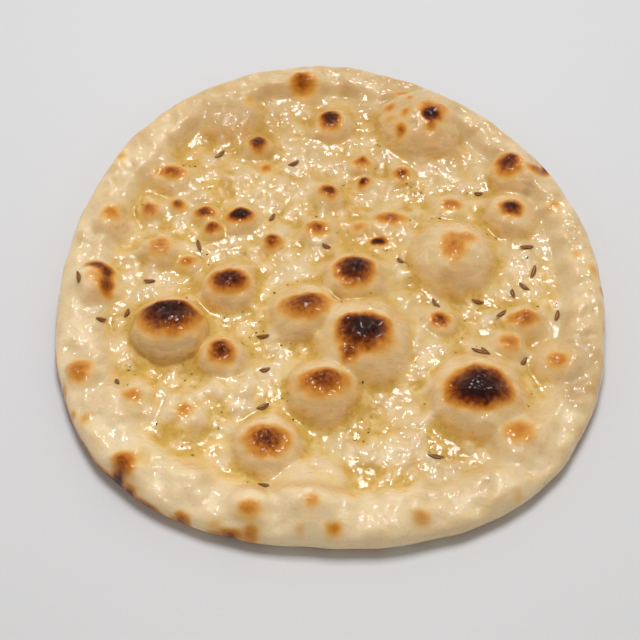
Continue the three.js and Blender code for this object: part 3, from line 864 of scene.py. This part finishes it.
# cumin: place, heading and length
seeds = {
    "width": 2.0, "thickness": 1.6, "rise": 0.45, "bend": 0.45, "ridges": 5, "ridgeShare": 0.14,
    "taper": 0.25, "grain": 250, "grainShade": (0.35, 0.65), "roughness": (0.3, 0.7, 0.4, 0.6),
    "specular": 0.1, "oil": 0.2, "oilRoughness": 0.2,
    "dark": (0.085, 0.026, 0.007), "ridge": (0.60, 0.31, 0.11), "shade": (0.22, 0.08, 0.024),
    "places": [
        (-49, 65.7, 47, 6.4), (-16, 61, 25, 5.6), (-56, 16.3, -76, 6.6), (-25, 31.6, 62, 4.8),
        (-75.7, -1.6, 0, 5), (-103.3, -5.6, 92, 5.6), (-93.8, -22.2, 14, 5.2), (-83.5, -17.8, 75, 4.6),
        (-27.5, -28.9, -9, 6.8), (-84.3, -52, -76, 3.8), (-26.3, -45, 3, 4.8), (-26.7, -61.4, 28, 6),
        (-25.5, -96, -20, 5), (65, 44, -4, 4), (83.3, 14.7, 12, 6.6), (85.2, 3, 73, 6.2),
        (80.8, -4.1, -46, 5.8), (75.6, -7.5, -86, 4.4), (43.4, -13.2, -57, 5.4), (60.8, -11.5, -10, 5.3),
        (70.1, -18.8, 45, 6.2), (93.1, -18.8, 72, 5.6), (29.5, 8.3, -47, 3.8), (-1.9, 15.8, -12, 4.3),
        (59.4, -37.8, -28, 7), (61.9, -37.3, -57, 5.2), (77.1, -41, 53, 6), (39.9, -83.4, -2, 6.6),
    ],
}


def surfaceFrame(x, y):
    step = 0.8
    height = topHeight(np.array([x, x + step, x]), np.array([y, y, y + step]))
    normal = Vector((-(height[1] - height[0]) / step, -(height[2] - height[0]) / step, 1)).normalized()
    return Vector((x, y, height[0])), normal


def addSeed(bm, ridgeLayer, x, y, heading, length):
    # a ridged spindle that lies along the slope
    spot, up = surfaceFrame(x, y)
    ahead = Vector((math.cos(math.radians(heading)), math.sin(math.radians(heading)), 0))
    side = up.cross(ahead).normalized()
    ahead = side.cross(up)
    made = bmesh.ops.create_uvsphere(bm, u_segments=20, v_segments=12, radius=1)["verts"]
    for vert in made:
        turn = math.atan2(vert.co.y, vert.co.x)
        ridge = 0.5 + 0.5 * math.cos(seeds["ridges"] * turn)
        vert[ridgeLayer] = ridge ** 2
        fat = 1 - seeds["ridgeShare"] * (1 - ridge)
        fat = fat * (1 - seeds["taper"] * vert.co.z ** 2)
        along = vert.co.z * length / 2
        across = vert.co.x * fat * seeds["width"] / 2 + seeds["bend"] * (vert.co.z ** 2 - 0.3)
        above = vert.co.y * fat * seeds["thickness"] / 2 + seeds["rise"]
        vert.co = spot + ahead * along + side * across + up * above


def seedMaterial():
    material, tree, shader = startMaterial("cuminHusk")
    place = tree.nodes.new("ShaderNodeTexCoord").outputs["Object"]
    tone = addNoise(tree, place, seeds["grain"], 3)
    colour = addMix(tree, addAttribute(tree, "ridge"), seeds["dark"], seeds["ridge"])
    colour = addMix(tree, addRange(tree, tone, *seeds["grainShade"]), colour, seeds["shade"])
    tree.links.new(colour, shader.inputs["Base Color"])
    tree.links.new(addRange(tree, tone, *seeds["roughness"]), shader.inputs["Roughness"])
    shader.inputs["Specular IOR Level"].default_value = seeds["specular"]
    shader.inputs["Coat Weight"].default_value = seeds["oil"]
    shader.inputs["Coat Roughness"].default_value = seeds["oilRoughness"]
    return material


def seedPiece():
    bm = bmesh.new()
    ridgeLayer = bm.verts.layers.float.new("ridge")
    for place in seeds["places"]:
        addSeed(bm, ridgeLayer, *place)
    bmesh.ops.recalc_face_normals(bm, faces=bm.faces)
    return newPiece("cuminSeeds", bm, seedMaterial())


cumin = seedPiece()
cumin.data.transform(Matrix.Scale(mm, 4) @ Matrix.Translation(shift))
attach(cumin, "root")
print("cumin seeds:", len(seeds["places"]))

# dried herb flecks floating in the oil
flecks = {
    "count": 110, "size": (0.6, 1.4), "narrow": (0.35, 0.8), "flat": 0.4, "rise": 0.06,
    "low": (-85, -95), "high": (95, 75), "oilDepth": (0.25, 0.9), "tone": (0.1, 1),
    "grain": 900, "roughness": (0.3, 0.7, 0.5, 0.7), "specular": 0.1,
    "tones": [(0.0, (0.03, 0.018, 0.008)), (0.4, (0.16, 0.11, 0.025)), (1.0, (0.38, 0.31, 0.07))],
    "pepper": [
        (83.2, 9.4, 1.7), (93.2, -12.8, 1.2), (58.8, -34.2, 0.9), (-52.3, 12.3, 1.0), (-31, -3.5, 0.8),
    ],
}


def fleckMaterial():
    material, tree, shader = startMaterial("driedHerb")
    place = tree.nodes.new("ShaderNodeTexCoord").outputs["Object"]
    tree.links.new(addRamp(tree, addAttribute(tree, "tone"), flecks["tones"]), shader.inputs["Base Color"])
    dull = addRange(tree, addNoise(tree, place, flecks["grain"], 2), *flecks["roughness"])
    tree.links.new(dull, shader.inputs["Roughness"])
    shader.inputs["Specular IOR Level"].default_value = flecks["specular"]
    return material


def addFleck(bm, toneLayer, random, x, y, size, tone):
    spot, up = surfaceFrame(x, y)
    made = bmesh.ops.create_icosphere(bm, subdivisions=1, radius=size / 2)["verts"]
    shape = up.to_track_quat("Z", "Y").to_matrix() @ Matrix.Rotation(random.uniform(0, 6.3), 3, "Z")
    squeeze = Matrix.Diagonal((1, random.uniform(*flecks["narrow"]), flecks["flat"]))
    for vert in made:
        vert[toneLayer] = tone
        vert.co = spot + shape @ (squeeze @ vert.co) + up * flecks["rise"]


def fleckPiece():
    bm = bmesh.new()
    toneLayer = bm.verts.layers.float.new("tone")
    random = np.random.default_rng(31)
    left = flecks["count"]
    while left:
        x, y = random.uniform(flecks["low"], flecks["high"])
        if sample(mapDepth, x, y) < random.uniform(*flecks["oilDepth"]):
            continue
        left -= 1
        size, tone = random.uniform(*flecks["size"]), random.uniform(*flecks["tone"])
        addFleck(bm, toneLayer, random, x, y, size, tone)
    for x, y, size in flecks["pepper"]:
        addFleck(bm, toneLayer, random, x, y, size, 0)
    return newPiece("herbFlecks", bm, fleckMaterial())


herbs = fleckPiece()
herbs.data.transform(Matrix.Scale(mm, 4) @ Matrix.Translation(shift))
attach(herbs, "root")
print("herb flecks:", flecks["count"])

table = {
    "low": (0.625, 0.625, 0.625), "high": (0.65, 0.65, 0.65), "grit": 1500,
    "gritTones": (0.35, 0.5), "roughness": 0.6, "halfWidth": 4, "under": 0.0002,
}


def tableMaterial():
    material, tree, shader = startMaterial("paleTable")
    place = tree.nodes.new("ShaderNodeTexCoord").outputs["Object"]
    grit = addNoise(tree, place, table["grit"], 3, 0.6)
    colour = addMix(tree, addRange(tree, grit, *table["gritTones"]), table["low"], table["high"])
    tree.links.new(colour, shader.inputs["Base Color"])
    shader.inputs["Roughness"].default_value = table["roughness"]
    return material


def addTable():
    bm = bmesh.new()
    bmesh.ops.create_grid(bm, x_segments=1, y_segments=1, size=table["halfWidth"])
    top = newPiece("table", bm, tableMaterial())
    top.location.z = -table["under"]


light = {
    "softboxSize": 350, "softboxHeight": 1000, "softboxBack": 292, "softboxPower": 7.7,
    "key": (1.0, 1.0, 1.05), "fill": (1.03, 1.0, 0.92), "overhead": 0.22, "horizon": 0.55,
}


def addLights():
    lamp = bpy.data.lights.new("softbox", "AREA")
    lamp.shape = "SQUARE"
    lamp.size = light["softboxSize"] * mm
    lamp.energy = light["softboxPower"]
    lamp.color = light["key"]
    softbox = bpy.data.objects.new("softbox", lamp)
    softbox.location = (0, light["softboxBack"] * mm, light["softboxHeight"] * mm)
    softbox.rotation_euler = (-Vector(softbox.location)).to_track_quat("-Z", "Y").to_euler()
    bpy.context.collection.objects.link(softbox)
    world = bpy.data.worlds.new("studio")
    world.use_nodes = True
    tree = world.node_tree
    background = tree.nodes["Background"]
    background.inputs["Color"].default_value = (*light["fill"], 1)
    # dim overhead, brighter towards the horizon
    heading = tree.nodes.new("ShaderNodeSeparateXYZ")
    tree.links.new(tree.nodes.new("ShaderNodeTexCoord").outputs["Generated"], heading.inputs[0])
    low = light["overhead"] + light["horizon"]
    glow = addMath(tree, "MULTIPLY_ADD", heading.outputs["Z"], -light["horizon"], low)
    tree.links.new(glow, background.inputs["Strength"])
    bpy.context.scene.world = world


view = {"elevation": 58, "distance": 517.6, "aim": (-4.4, -16.1, 0), "lens": 70, "sensor": 36}


def addCamera():
    lens = bpy.data.cameras.new("camera")
    lens.lens = view["lens"]
    lens.sensor_width = view["sensor"]
    lens.clip_start = 0.01
    camera = bpy.data.objects.new("camera", lens)
    rise = math.radians(view["elevation"])
    back = Vector((0, -math.cos(rise), math.sin(rise)))
    camera.location = (Vector(view["aim"]) + back * view["distance"]) * mm
    camera.rotation_euler = (-back).to_track_quat("-Z", "Y").to_euler()
    bpy.context.collection.objects.link(camera)
    bpy.context.scene.camera = camera


addTable()
addLights()
addCamera()
bpy.context.scene.view_settings.view_transform = "Standard"
print("table, lights and camera placed")
